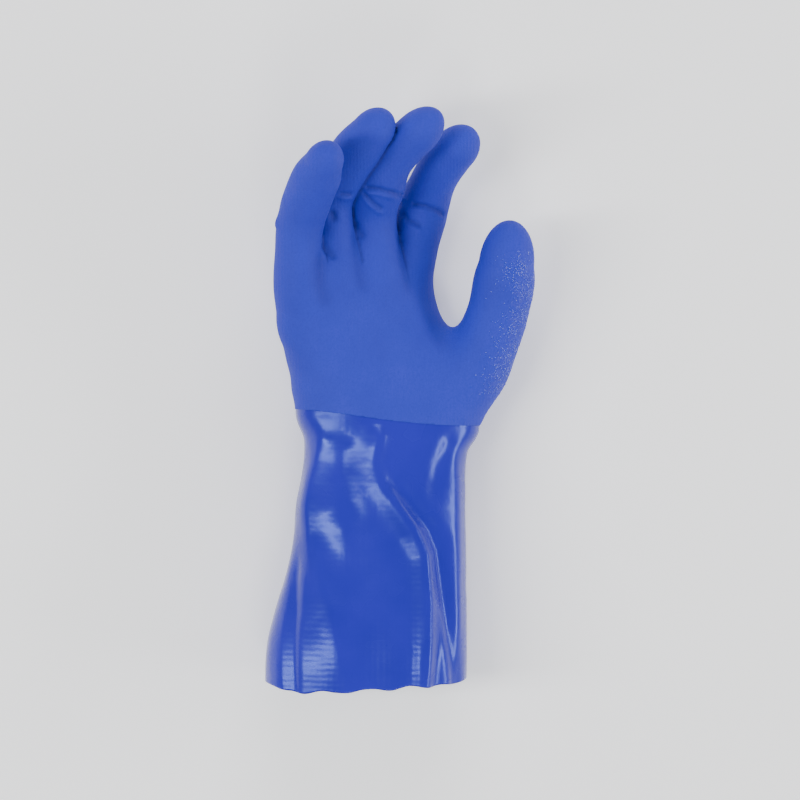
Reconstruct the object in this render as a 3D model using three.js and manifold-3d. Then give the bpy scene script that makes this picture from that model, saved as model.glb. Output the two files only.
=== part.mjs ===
// A PVC coated work glove for the right hand, lying on its back with the palm up.
// It is one seamless form with two finishes: a hand with a rough matt coat, and a smooth glossy gauntlet.
// Millimetres. +Y runs from the hem to the fingertips, +X to the thumb side, +Z up out of the palm.
import * as THREE from "three";
import { mergeVertices } from "three/addons/utils/BufferGeometryUtils.js";
import Module from "manifold-3d";

const wasm = await Module();
wasm.setup();

// Walls: the knitted backing with its coats of PVC. The hand has one coat more than the gauntlet.
const HAND_WALL = 2.0;
const SLEEVE_WALL = 1.7;
const COAT_GAP = 0.3;

// The gauntlet, from the edge of the rough coat down to the cut hem.
const SLEEVE_LENGTH = 152.5;
const HEM_BREADTH = 110;
const HEM_DEPTH = 74;
const HEM_OFFSET = 0;
const WRIST_BREADTH = 89.5;
const WRIST_DEPTH = 58;
const WRIST_OFFSET = 10.5;
const HEM_WAVE = 1.1;
const HEM_RISE = -1.5;

// The edge of the rough coat crosses the heel of the hand, a little lower on the thumb side.
const EDGE_BREADTH = 103;
const EDGE_DEPTH = 56;
const EDGE_OFFSET = 13;
const EDGE_TWIST = 7;
const EDGE_SLOPE = -0.09;

// The palm, from that edge to the knuckles. The hand is turned about its long axis, little finger up.
const PALM_LENGTH = 82;
const KNUCKLE_BREADTH = 102;
const KNUCKLE_DEPTH = 40;
const KNUCKLE_OFFSET = -5;
const KNUCKLE_TWIST = 33;

// Fingers and thumb: length along the middle from the seat to the tip, and girth across the widest joint.
const INDEX_LENGTH = 93.5;
const MIDDLE_LENGTH = 105.5;
const RING_LENGTH = 99.5;
const LITTLE_LENGTH = 86.5;
const THUMB_LENGTH = 107;
const INDEX_GIRTH = 26.5;
const MIDDLE_GIRTH = 27;
const RING_GIRTH = 26.5;
const LITTLE_GIRTH = 29;
const THUMB_GIRTH = 34;

// The glove lies on its back, so its underside is pressed flat where it meets the surface.
const PRESSED = 2.2;

const SLEEVE_SIDES = 48;
const SLEEVE_STEPS = 18;
const PALM_SIDES = 40;
const DIGIT_SIDES = 16;
const SECTION_POWER = 2.45;

const AXIS = new THREE.Vector3(0, 1, 0);
const radians = THREE.MathUtils.degToRad;
const mix = THREE.MathUtils.lerp;

// Each named section, with its lowest point pressed into the surface by the amount sunk.
const HEM = { breadth: HEM_BREADTH, depth: HEM_DEPTH, offset: HEM_OFFSET, twist: 0, sunk: PRESSED };
const WRIST = { breadth: WRIST_BREADTH, depth: WRIST_DEPTH, offset: WRIST_OFFSET, twist: 4, sunk: PRESSED };
const EDGE = { breadth: EDGE_BREADTH, depth: EDGE_DEPTH, offset: EDGE_OFFSET, twist: EDGE_TWIST, sunk: PRESSED };
const KNUCKLES = {
  breadth: KNUCKLE_BREADTH,
  depth: KNUCKLE_DEPTH,
  offset: KNUCKLE_OFFSET,
  twist: KNUCKLE_TWIST,
  sunk: 0,
};

// along: share of SLEEVE_LENGTH from the coat's edge to the hem. from, to, share: which sections are mixed.
const SLEEVE_ROWS = [
  { along: 0.0, from: EDGE, to: WRIST, share: 0 },
  { along: 0.05, from: EDGE, to: WRIST, share: 0.5 },
  { along: 0.1, from: EDGE, to: WRIST, share: 0.88 },
  { along: 0.17, from: WRIST, to: HEM, share: 0 },
  { along: 0.25, from: WRIST, to: HEM, share: 0.1 },
  { along: 0.33, from: WRIST, to: HEM, share: 0.2 },
  { along: 0.47, from: WRIST, to: HEM, share: 0.27 },
  { along: 0.55, from: WRIST, to: HEM, share: 0.38 },
  { along: 0.62, from: WRIST, to: HEM, share: 0.52 },
  { along: 0.7, from: WRIST, to: HEM, share: 0.7 },
  { along: 0.77, from: WRIST, to: HEM, share: 0.83 },
  { along: 0.84, from: WRIST, to: HEM, share: 0.94 },
  { along: 0.92, from: WRIST, to: HEM, share: 1 },
  { along: 1.0, from: WRIST, to: HEM, share: 1 },
];

// along: share of PALM_LENGTH. share: how much of the section at the knuckles is mixed with the one at the edge.
// breadth and depth scale that section. The last rows close the palm between the roots of the fingers.
const PALM_ROWS = [
  { along: 0.0, share: 0, breadth: 1, depth: 1 },
  { along: 0.1, share: 0.14, breadth: 1, depth: 1 },
  { along: 0.2, share: 0.23, breadth: 1, depth: 1 },
  { along: 0.3, share: 0.34, breadth: 1, depth: 1 },
  { along: 0.4, share: 0.48, breadth: 1, depth: 1 },
  { along: 0.5, share: 0.62, breadth: 1, depth: 1 },
  { along: 0.6, share: 0.77, breadth: 1, depth: 0.99 },
  { along: 0.72, share: 0.89, breadth: 0.99, depth: 0.98 },
  { along: 0.85, share: 0.95, breadth: 0.98, depth: 0.94 },
  { along: 0.98, share: 1, breadth: 0.96, depth: 0.86 },
  { along: 1.08, share: 1, breadth: 0.92, depth: 0.73 },
  { along: 1.14, share: 1, breadth: 0.88, depth: 0.58 },
  { along: 1.175, share: 1, breadth: 0.82, depth: 0.38 },
  { along: 1.19, share: 1, breadth: 0.72, depth: 0.16 },
];

// across and palmward: where a digit is seated, as shares of the breadth and depth of the section named in root.
// up: share of PALM_LENGTH. phalanges: shares of the digit's length. flex, splay: degrees, from the wrist outward.
const DIGITS = [
  {
    name: "index", root: KNUCKLES, length: INDEX_LENGTH, girth: INDEX_GIRTH,
    across: 0.39, palmward: 0.05, up: 1.04,
    phalanges: [0.35, 0.31, 0.34], flex: [9, 42, 47], splay: [6, 5, 5],
  },
  {
    name: "middle", root: KNUCKLES, length: MIDDLE_LENGTH, girth: MIDDLE_GIRTH,
    across: 0.14, palmward: 0, up: 1.05,
    phalanges: [0.29, 0.29, 0.42], flex: [6, 38, 49], splay: [1, 2, 2],
  },
  {
    name: "ring", root: KNUCKLES, length: RING_LENGTH, girth: RING_GIRTH,
    across: -0.123, palmward: -0.02, up: 1.03,
    phalanges: [0.34, 0.27, 0.39], flex: [9, 38, 45], splay: [0, 1, 2],
  },
  {
    name: "little", root: KNUCKLES, length: LITTLE_LENGTH, girth: LITTLE_GIRTH,
    across: -0.36, palmward: 0.05, up: 0.99,
    phalanges: [0.29, 0.25, 0.46], flex: [16, 37, 54], splay: [-8, -8, -8],
  },
  {
    name: "thumb", root: EDGE, length: THUMB_LENGTH, girth: THUMB_GIRTH,
    across: 0.377, palmward: 0.03, up: 0.124,
    phalanges: [0.23, 0.25, 0.24, 0.28], flex: [12, 13, 14, 16], splay: [29, 22, 10, 3],
  },
];

// Sections of a finger and of the thumb: along is a share of the length, breadth and depth shares of the girth.
// web: how far the skin between thumb and palm stands out beside the thumb, as a share of its girth.
const FINGER_ROWS = [
  { along: -0.3, breadth: 0.6, depth: 0.7, web: 0 },
  { along: -0.14, breadth: 0.88, depth: 1.0, web: 0 },
  { along: 0.0, breadth: 0.96, depth: 1.12, web: 0 },
  { along: 0.1, breadth: 0.98, depth: 1.1, web: 0 },
  { along: 0.2, breadth: 0.98, depth: 1.05, web: 0 },
  { along: 0.29, breadth: 0.98, depth: 1.0, web: 0 },
  { along: 0.34, breadth: 0.98, depth: 1.0, web: 0 },
  { along: 0.39, breadth: 0.99, depth: 1.0, web: 0 },
  { along: 0.44, breadth: 1.0, depth: 1.0, web: 0 },
  { along: 0.52, breadth: 1.0, depth: 0.99, web: 0 },
  { along: 0.62, breadth: 0.98, depth: 0.97, web: 0 },
  { along: 0.72, breadth: 0.98, depth: 0.95, web: 0 },
  { along: 0.82, breadth: 0.95, depth: 0.91, web: 0 },
  { along: 0.9, breadth: 0.85, depth: 0.8, web: 0 },
  { along: 0.955, breadth: 0.66, depth: 0.6, web: 0 },
  { along: 0.985, breadth: 0.41, depth: 0.36, web: 0 },
  { along: 1.0, breadth: 0.12, depth: 0.12, web: 0 },
];
const THUMB_ROWS = [
  { along: -0.11, breadth: 0.4, depth: 0.5, web: 0 },
  { along: -0.07, breadth: 0.74, depth: 0.82, web: 0 },
  { along: 0.0, breadth: 1.02, depth: 1.06, web: 0 },
  { along: 0.1, breadth: 1.16, depth: 1.18, web: 0.05 },
  { along: 0.2, breadth: 1.2, depth: 1.2, web: 0.12 },
  { along: 0.3, breadth: 1.18, depth: 1.14, web: 0.18 },
  { along: 0.4, breadth: 1.1, depth: 1.06, web: 0.12 },
  { along: 0.46, breadth: 1.06, depth: 1.02, web: 0.04 },
  { along: 0.54, breadth: 1.0, depth: 0.98, web: 0 },
  { along: 0.66, breadth: 0.97, depth: 0.94, web: 0 },
  { along: 0.77, breadth: 0.94, depth: 0.9, web: 0 },
  { along: 0.86, breadth: 0.84, depth: 0.79, web: 0 },
  { along: 0.93, breadth: 0.66, depth: 0.62, web: 0 },
  { along: 0.975, breadth: 0.42, depth: 0.38, web: 0 },
  { along: 1.0, breadth: 0.14, depth: 0.14, web: 0 },
];

// Creases across the palm side of the bent joints, as shares of the digit's length and girth.
const CREASES = [
  { digit: "index", along: 0.37, depth: 0.13, width: 0.03 },
  { digit: "middle", along: 0.37, depth: 0.12, width: 0.03 },
  { digit: "ring", along: 0.36, depth: 0.12, width: 0.03 },
  { digit: "little", along: 0.36, depth: 0.08, width: 0.03 },
];

// Ridges and valleys of the gauntlet, each running from one point of its face to another. along: share of
// SLEEVE_LENGTH. across: share of the half breadth, thumb side positive. height and width: shares of HEM_DEPTH.
const FOLDS = [
  { along: [0.08, 0.49], across: [-0.3, 0.47], height: 0.045, width: 0.09 },
  { along: [0.49, 1.0], across: [0.47, 0.55], height: 0.045, width: 0.09 },
  { along: [0.27, 0.45], across: [0.15, 0.58], height: -0.04, width: 0.08 },
  { along: [0.45, 1.0], across: [0.58, 0.8], height: -0.045, width: 0.07 },
  { along: [0.08, 0.42], across: [0.82, 0.55], height: -0.035, width: 0.06 },
  { along: [0.12, 0.55], across: [-0.7, -0.86], height: 0.03, width: 0.08 },
  { along: [0.55, 1.0], across: [-0.86, -0.5], height: 0.05, width: 0.12 },
  { along: [0.5, 1.0], across: [-0.96, -0.74], height: -0.05, width: 0.08 },
  { along: [0.28, 0.55], across: [-0.55, -0.1], height: -0.045, width: 0.14 },
  { along: [0.7, 0.95], across: [-0.05, 0.15], height: -0.03, width: 0.16 },
];

// A point on the outline of a section: angle 0 is the thumb side, a quarter turn the palm side.
function outlinePoint(section, angle) {
  const power = 2 / SECTION_POWER;
  const c = Math.cos(angle);
  const s = Math.sin(angle);
  const u = (section.breadth / 2) * Math.sign(c) * Math.abs(c) ** power;
  const n = (section.depth / 2) * Math.sign(s) * Math.abs(s) ** power;
  const twist = radians(section.twist);
  return new THREE.Vector2(
    section.offset + u * Math.cos(twist) + n * Math.sin(twist),
    n * Math.cos(twist) - u * Math.sin(twist),
  );
}

// The outline of a section seated on the surface, with its centre's height, before it is pressed flat.
function sectionOutline(section, sides, inset = 0) {
  const angles = Array.from({ length: sides }, (_, i) => (i / sides) * 2 * Math.PI);
  const lowest = Math.min(...angles.map((a) => outlinePoint(section, a).y));
  const inner = { ...section, breadth: section.breadth - 2 * inset, depth: section.depth - 2 * inset };
  return angles.map((angle) => {
    const p = outlinePoint(inner, angle);
    return { angle, x: p.x, z: p.y - lowest - section.sunk };
  });
}

function mixSections(a, b, share) {
  return {
    breadth: mix(a.breadth, b.breadth, share),
    depth: mix(a.depth, b.depth, share),
    offset: mix(a.offset, b.offset, share),
    twist: mix(a.twist, b.twist, share),
    sunk: mix(a.sunk, b.sunk, share),
  };
}

// Reads a table of rows with a smooth curve through each column.
function tableAt(rows, along, columns) {
  const last = rows.length - 1;
  let i = rows.findIndex((row) => row.along > along) - 1;
  if (i < 0) i = along < rows[0].along ? 0 : last - 1;
  const [a, b, c, d] = [rows[Math.max(i - 1, 0)], rows[i], rows[i + 1], rows[Math.min(i + 2, last)]];
  const t = THREE.MathUtils.clamp((along - b.along) / (c.along - b.along), 0, 1);
  const made = {};
  for (const column of columns) {
    const slopeIn = (c[column] - a[column]) / (c.along - a.along || 1);
    const slopeOut = (d[column] - b[column]) / (d.along - b.along || 1);
    const span = c.along - b.along;
    const t2 = t * t;
    const t3 = t2 * t;
    made[column] =
      (2 * t3 - 3 * t2 + 1) * b[column] +
      (t3 - 2 * t2 + t) * span * slopeIn +
      (3 * t2 - 2 * t3) * c[column] +
      (t3 - t2) * span * slopeOut;
  }
  return made;
}

const SECTION_COLUMNS = ["breadth", "depth", "offset", "twist", "sunk"];
const sleeveSections = SLEEVE_ROWS.map((row) => ({
  along: row.along,
  ...mixSections(row.from, row.to, row.share),
}));

// How far the folds lift the gauntlet's wall at one place. Only the face that is seen from above is folded.
function foldLift(along, angle, section) {
  const across = Math.cos(angle);
  let [ridge, valley] = [0, 0];
  if (Math.sin(angle) < -0.2) return 0;
  for (const fold of FOLDS) {
    const [a0, a1] = fold.along;
    const share = THREE.MathUtils.clamp((along - a0) / (a1 - a0), 0, 1);
    const beyond = (along - mix(a0, a1, share)) * SLEEVE_LENGTH;
    const centre = mix(...fold.across, THREE.MathUtils.smoothstep(share, 0, 1));
    const sideways = ((Math.acos(across) - Math.acos(centre)) * section.breadth) / 2;
    const reach = fold.width * HEM_DEPTH;
    const lift = fold.height * HEM_DEPTH * Math.exp(-(sideways ** 2 + beyond ** 2) / reach ** 2);
    ridge = Math.max(ridge, lift);
    valley = Math.min(valley, lift);
  }
  return ridge + valley;
}

// Two triangles between four corners, parted along the shorter diagonal so that ridges stay crisp.
function pushQuad(faces, points, a, b, c, d) {
  const crossed = points[a].distanceToSquared(points[c]) > points[b].distanceToSquared(points[d]);
  faces.push(...(crossed ? [a, b, d, b, c, d] : [a, b, c, a, c, d]));
}

// A closed body from rings of points, each ring with the same number of points, closed by a fan at each end.
function loftedSolid(rings) {
  const sides = rings[0].length;
  const points = rings.flat();
  const faces = [];
  for (let r = 0; r + 1 < rings.length; r++) {
    for (let i = 0; i < sides; i++) {
      const a = r * sides + i;
      const b = r * sides + ((i + 1) % sides);
      pushQuad(faces, points, a, a + sides, b + sides, b);
    }
  }
  for (const [ring, turned] of [[0, false], [rings.length - 1, true]]) {
    const centre = points.length;
    const sum = rings[ring].reduce((total, p) => total.add(p), new THREE.Vector3());
    points.push(sum.divideScalar(sides));
    for (let i = 0; i < sides; i++) {
      const a = ring * sides + i;
      const b = ring * sides + ((i + 1) % sides);
      faces.push(...(turned ? [centre, b, a] : [centre, a, b]));
    }
  }
  return closedBody(points, faces);
}

// A tube with a wall, from outer and inner rings that match point for point, open at both ends.
function walledTube(outer, inner) {
  const sides = outer[0].length;
  const count = outer.length;
  const points = [...outer.flat(), ...inner.flat()];
  const faces = [];
  const quad = (...corners) => pushQuad(faces, points, ...corners);
  const at = (wall, r, i) => (wall * count + r) * sides + (i % sides);
  for (let i = 0; i < sides; i++) {
    for (let r = 0; r + 1 < count; r++) {
      quad(at(0, r, i), at(0, r + 1, i), at(0, r + 1, i + 1), at(0, r, i + 1));
      quad(at(1, r, i + 1), at(1, r + 1, i + 1), at(1, r + 1, i), at(1, r, i));
    }
    quad(at(0, 0, i + 1), at(1, 0, i + 1), at(1, 0, i), at(0, 0, i));
    quad(at(0, count - 1, i), at(1, count - 1, i), at(1, count - 1, i + 1), at(0, count - 1, i + 1));
  }
  return closedBody(points, faces);
}

function closedBody(points, faces) {
  const geometry = new THREE.BufferGeometry().setFromPoints(points);
  geometry.setIndex(faces);
  const merged = mergeVertices(geometry, 1e-4);
  const made = new wasm.Manifold(
    new wasm.Mesh({
      numProp: 3,
      vertProperties: new Float32Array(merged.attributes.position.array),
      triVerts: new Uint32Array(merged.index.array),
    }),
  );
  return made.volume() < 0 ? closedBody(points, faces.slice().reverse()) : made;
}

function meshOf(body, name, material) {
  const { vertProperties, triVerts, numProp, numVert } = body.getMesh();
  const positions = new Float32Array(numVert * 3);
  for (let i = 0; i < numVert; i++) {
    positions.set(vertProperties.subarray(i * numProp, i * numProp + 3), i * 3);
  }
  const geometry = new THREE.BufferGeometry();
  geometry.setAttribute("position", new THREE.BufferAttribute(positions, 3));
  geometry.setIndex(new THREE.BufferAttribute(new Uint32Array(triVerts), 1));
  geometry.computeVertexNormals();
  const mesh = new THREE.Mesh(geometry, material);
  mesh.name = name;
  return mesh;
}

// The gauntlet: rings from the coat's edge to the wavy hem, folded on top and pressed flat below.
function sleeveRing(along, inset) {
  const section = tableAt(sleeveSections, along, SECTION_COLUMNS);
  return sectionOutline(section, SLEEVE_SIDES, inset).map(({ angle, x, z }) => {
    const lift = foldLift(along, angle, section);
    const out = new THREE.Vector2(Math.cos(angle) / section.breadth, Math.sin(angle) / section.depth);
    out.normalize();
    const wave = Math.sin(3 * angle + 0.6) + 0.6 * Math.sin(7 * angle);
    const cut = HEM_RISE * Math.cos(angle) ** 2 + HEM_WAVE * wave;
    const y = -along * SLEEVE_LENGTH - COAT_GAP * (1 - along) + along ** 4 * cut;
    const level = EDGE_SLOPE * (x - EDGE_OFFSET) * (1 - along) ** 2;
    return new THREE.Vector3(x + lift * out.x, y + level, Math.max(z + lift * out.y, inset));
  });
}

function gauntlet() {
  const steps = Array.from({ length: SLEEVE_STEPS + 1 }, (_, i) => i / SLEEVE_STEPS);
  return walledTube(
    steps.map((along) => sleeveRing(along, 0)),
    steps.map((along) => sleeveRing(along, SLEEVE_WALL)),
  );
}

// The palm: rings from the coat's edge to the webs. The hollow runs on past the edge, so the palm is open there.
function palmRing(row, inset) {
  const last = PALM_ROWS[PALM_ROWS.length - 1].along;
  const along = row.along * (1 - inset / (last * PALM_LENGTH));
  const full = mixSections(EDGE, KNUCKLES, row.share);
  const section = { ...full, breadth: full.breadth * row.breadth, depth: full.depth * row.depth };
  const shift = middleHeight(sectionOutline(full, PALM_SIDES));
  const outline = sectionOutline(section, PALM_SIDES, inset);
  const drop = shift - middleHeight(outline);
  return outline.map(({ x, z }) => {
    const level = EDGE_SLOPE * (x - EDGE_OFFSET) * (1 - row.along);
    const floor = full.sunk > 0 ? inset : -Infinity;
    return new THREE.Vector3(x, along * PALM_LENGTH + level, Math.max(z + drop, floor));
  });
}

function middleHeight(outline) {
  return outline.reduce((sum, p) => sum + p.z, 0) / outline.length;
}

function palm(inset) {
  const rings = PALM_ROWS.map((row) => palmRing(row, inset));
  if (inset > 0) rings.unshift(rings[0].map((p) => p.clone().setY(p.y - HAND_WALL * 4)));
  return loftedSolid(rings);
}

// Each digit bends in the frame of the section that it grows from: across to the thumb side, out of the palm.
function frameOf(section) {
  const twist = radians(section.twist);
  const height = middleHeight(sectionOutline(section, PALM_SIDES));
  return {
    centre: new THREE.Vector3(section.offset, 0, height),
    across: new THREE.Vector3(Math.cos(twist), 0, -Math.sin(twist)),
    palmward: new THREE.Vector3(Math.sin(twist), 0, Math.cos(twist)),
  };
}

function phalanxDirection(frame, flex, splay) {
  const [f, s] = [radians(flex), radians(splay)];
  return frame.across
    .clone()
    .multiplyScalar(Math.cos(f) * Math.sin(s))
    .addScaledVector(AXIS, Math.cos(f) * Math.cos(s))
    .addScaledVector(frame.palmward, Math.sin(f));
}

// The line through the middle of a digit, from inside the palm to the tip.
function digitLine(digit, frame) {
  const points = [
    frame.centre
      .clone()
      .addScaledVector(frame.across, digit.across * digit.root.breadth)
      .addScaledVector(frame.palmward, digit.palmward * digit.root.depth)
      .addScaledVector(AXIS, digit.up * PALM_LENGTH),
  ];
  digit.phalanges.forEach((share, i) => {
    const step = phalanxDirection(frame, digit.flex[i], digit.splay[i]).multiplyScalar(share * digit.length);
    points.push(points[i].clone().add(step));
  });
  return new THREE.CatmullRomCurve3(points, false, "centripetal");
}

function digitBody(digit, inset) {
  const rows = digit.name === "thumb" ? THUMB_ROWS : FINGER_ROWS;
  const frame = frameOf(digit.root);
  const line = digitLine(digit, frame);
  const creases = CREASES.filter((crease) => crease.digit === digit.name);
  const start = rows[0].along;
  const rings = rows.map((row) => {
    const trim = inset / digit.length;
    const along = mix(start + trim, 1 - trim, (row.along - start) / (1 - start));
    const tangent = line.getTangentAt(Math.max(along, 0));
    const centre = line.getPointAt(Math.max(along, 0));
    centre.addScaledVector(tangent, Math.min(along, 0) * digit.length);
    const side = frame.across.clone().addScaledVector(tangent, -frame.across.dot(tangent)).normalize();
    const front = new THREE.Vector3().crossVectors(side, tangent).normalize();
    const half = (share) => Math.max((share * digit.girth) / 2 - inset, share * 2);
    const dent = creases.reduce((sum, crease) => {
      const away = (row.along - crease.along) / crease.width;
      return sum + crease.depth * digit.girth * Math.exp(-(away ** 2));
    }, 0);
    return Array.from({ length: DIGIT_SIDES }, (_, i) => {
      const angle = (i / DIGIT_SIDES) * 2 * Math.PI;
      const towards = -Math.min(0, Math.cos(angle));
      const web = row.web * digit.girth * towards ** 2;
      const pinch = dent * Math.max(0, Math.sin(angle)) ** 2;
      return centre
        .clone()
        .addScaledVector(side, half(row.breadth) * Math.cos(angle) - web)
        .addScaledVector(front, half(row.depth) * Math.sin(angle) - pinch);
    });
  });
  return loftedSolid(rings);
}

function handForm(inset) {
  return DIGITS.reduce((form, digit) => form.add(digitBody(digit, inset)), palm(inset));
}

const roughCoat = new THREE.MeshStandardMaterial({ color: 0x4466c5, roughness: 0.8, metalness: 0 });
const smoothCoat = new THREE.MeshStandardMaterial({ color: 0x2f52be, roughness: 0.22, metalness: 0 });

const glove = new THREE.Group();
glove.add(meshOf(handForm(0).subtract(handForm(HAND_WALL)), "hand", roughCoat));
glove.add(meshOf(gauntlet(), "gauntlet", smoothCoat));

// The origin is on the surface that the glove lies on, under the middle of its outline.
const outline = new THREE.Box3().setFromObject(glove);
const middle = outline.getCenter(new THREE.Vector3());
glove.position.set(-middle.x, -middle.y, -outline.min.z);

export default glove;
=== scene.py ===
import bmesh
import bpy
import numpy as np
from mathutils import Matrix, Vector
from mathutils.bvhtree import BVHTree


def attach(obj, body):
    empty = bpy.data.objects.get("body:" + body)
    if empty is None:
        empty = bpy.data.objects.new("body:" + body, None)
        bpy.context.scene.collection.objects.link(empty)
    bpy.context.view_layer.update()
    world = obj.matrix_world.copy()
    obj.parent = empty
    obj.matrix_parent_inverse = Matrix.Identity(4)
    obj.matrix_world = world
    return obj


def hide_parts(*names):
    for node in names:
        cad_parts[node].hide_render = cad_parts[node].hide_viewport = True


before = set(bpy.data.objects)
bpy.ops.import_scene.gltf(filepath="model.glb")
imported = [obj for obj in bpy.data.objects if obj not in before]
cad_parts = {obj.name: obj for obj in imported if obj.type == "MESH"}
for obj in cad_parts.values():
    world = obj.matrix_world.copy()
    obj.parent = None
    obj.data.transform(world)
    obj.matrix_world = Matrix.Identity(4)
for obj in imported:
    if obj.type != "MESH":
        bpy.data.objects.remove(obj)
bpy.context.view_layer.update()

# The floor is a plain pale table, with the glove lying on its back and its palm up.
# The light is soft and even: a wide panel over the fingers, one at each side and a faint one at the cuff.
# Each panel has a name, place, target, size, power and colour.
floor_mesh = bpy.data.meshes.new("table")
floor_mesh.from_pydata([(-3, -3, 0), (3, -3, 0), (3, 3, 0), (-3, 3, 0)], [], [(0, 1, 2, 3)])
table = bpy.data.objects.new("table", floor_mesh)
bpy.context.collection.objects.link(table)
table.location.z = -0.0002
pale = bpy.data.materials.new("pale table")
pale.use_nodes = True
paper = pale.node_tree.nodes["Principled BSDF"]
paper.inputs["Base Color"].default_value = (0.95, 0.95, 0.955, 1)
paper.inputs["Roughness"].default_value = 0.9
paper.inputs["Emission Color"].default_value = (1, 1, 1, 1)
paper.inputs["Emission Strength"].default_value = 0.25
table.data.materials.append(pale)

panels = [
    ("key panel at the little finger side", (-1.0, -0.12, 1.3), (-0.02, -0.02, 0.03), (0.25, 1.25), 21, (1, 1, 1)),
    ("panel beyond the fingers", (0.1, 1.35, 1.0), (0.0, 0.05, 0.03), (1.2, 0.5), 14, (1, 1, 1)),
    ("low panel at the thumb side", (1.2, -0.1, 0.5), (0.0, -0.03, 0.03), (0.9, 0.25), 11, (1, 1, 1)),
    ("panel at the cuff", (0.1, -1.05, 1.3), (0.0, -0.05, 0.03), (0.5, 0.4), 7, (1, 1, 1)),
]
for name, place, target, size, power, colour in panels:
    lamp = bpy.data.lights.new(name, "AREA")
    lamp.shape = "RECTANGLE"
    lamp.size, lamp.size_y = size
    lamp.energy = power
    lamp.color = colour
    holder = bpy.data.objects.new(name, lamp)
    bpy.context.collection.objects.link(holder)
    holder.location = place
    holder.rotation_euler = (Vector(target) - Vector(place)).to_track_quat("-Z", "Y").to_euler()
sky = bpy.data.worlds.new("studio air")
sky.use_nodes = True
sky.node_tree.nodes["Background"].inputs["Color"].default_value = (0.93, 0.95, 1.0, 1)
sky.node_tree.nodes["Background"].inputs["Strength"].default_value = 0.42
bpy.context.scene.world = sky

# The camera looks straight down at the glove through a long lens, as the photograph does.
lens = bpy.data.cameras.new("camera over the palm")
lens.lens = 141.2
lens.sensor_width = 36
camera = bpy.data.objects.new("camera over the palm", lens)
bpy.context.collection.objects.link(camera)
camera.location = (0, -0.00084, 1.8)
camera.rotation_euler = (0, 0, 0)
bpy.context.scene.camera = camera

# The whole glove is one seamless form. Its cross-sections, in millimetres, follow the arm from the cut hem
# over the wrist to the edge of the rough coat, and turn with the palm up to the knuckles.
# x and y are the frame's own directions. SLEEVE and PALM are lengths, SUNK is how far a section is pressed into
# the table before it is flattened there, and POWER is how square the sections are.
SHIFT = np.array([-20.38, -8.6, 0.0])
SLEEVE = 152.5
PALM = 82.0
SUNK = 2.2
POWER = 2.45

# the edge of the rough coat, across the heel of the hand: x, then how far above (+) or below (-) its middle
edge_rows = np.array(
    [(-60, 3.2), (-44, 2.9), (-30, 2.1), (-14, 0.4), (-6, -0.7), (13, -3.4), (40, -6.0), (66, -6.7), (80, -6.8)]
)

# along, breadth, depth, middle, turn, sunk: from the coat's edge (0) to the hem (1)
sleeve_rows = np.array(
    [
        (0.00, 103.0, 56.0, 12.6, 7.0, 2.2),
        (0.05, 97.6, 57.0, 12.6, 5.5, 2.2),
        (0.10, 93.6, 57.8, 12.4, 4.4, 2.2),
        (0.17, 92.0, 58.0, 11.8, 4.0, 2.2),
        (0.25, 93.6, 59.6, 10.9, 3.6, 2.2),
        (0.33, 96.0, 61.2, 9.6, 3.2, 2.2),
        (0.47, 98.2, 62.3, 8.9, 2.9, 2.2),
        (0.55, 100.6, 64.1, 7.8, 2.5, 2.2),
        (0.62, 103.4, 66.3, 6.4, 1.9, 2.2),
        (0.70, 107.4, 69.2, 4.6, 1.2, 2.2),
        (0.77, 110.4, 71.3, 3.2, 0.7, 2.2),
        (0.84, 112.8, 73.0, 2.0, 0.2, 2.2),
        (0.92, 114.0, 74.0, 1.4, 0.0, 2.2),
        (1.00, 114.0, 74.0, 1.2, 0.0, 2.2),
    ]
)


def read_row(rows, along):
    """Each column of a table at the places asked for, on a smooth curve through the rows."""
    x = rows[:, 0]
    out = []
    for column in rows[:, 1:].T:
        slope = np.gradient(column, x)
        i = np.clip(np.searchsorted(x, along, side="right") - 1, 0, len(x) - 2)
        span = x[i + 1] - x[i]
        t = np.clip((along - x[i]) / span, 0, 1)
        out.append(
            (2 * t**3 - 3 * t**2 + 1) * column[i]
            + (t**3 - 2 * t**2 + t) * span * slope[i]
            + (3 * t**2 - 2 * t**3) * column[i + 1]
            + (t**3 - t**2) * span * slope[i + 1]
        )
    return out


def section_points(breadth, depth, middle, turn, angle):
    """x and z round a section, with z counted from its middle."""
    c, s = np.cos(angle), np.sin(angle)
    u = breadth / 2 * np.sign(c) * np.abs(c) ** (2 / POWER)
    n = depth / 2 * np.sign(s) * np.abs(s) ** (2 / POWER)
    t = np.radians(turn)
    x = middle + u * np.cos(t) + n * np.sin(t)
    z = n * np.cos(t) - u * np.sin(t)
    return x, z


def seat_height(breadth, depth, turn):
    """How far a turned section's middle is above its lowest point."""
    angle = np.linspace(0, 2 * np.pi, 720, endpoint=False)
    _, z = section_points(breadth, depth, 0, turn, angle)
    return -z.min()


def coat_edge(x):
    """How far along the arm the rough coat ends, for each x across the heel."""
    return read_row(edge_rows, np.clip(x, -60, 80))[0]


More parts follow.
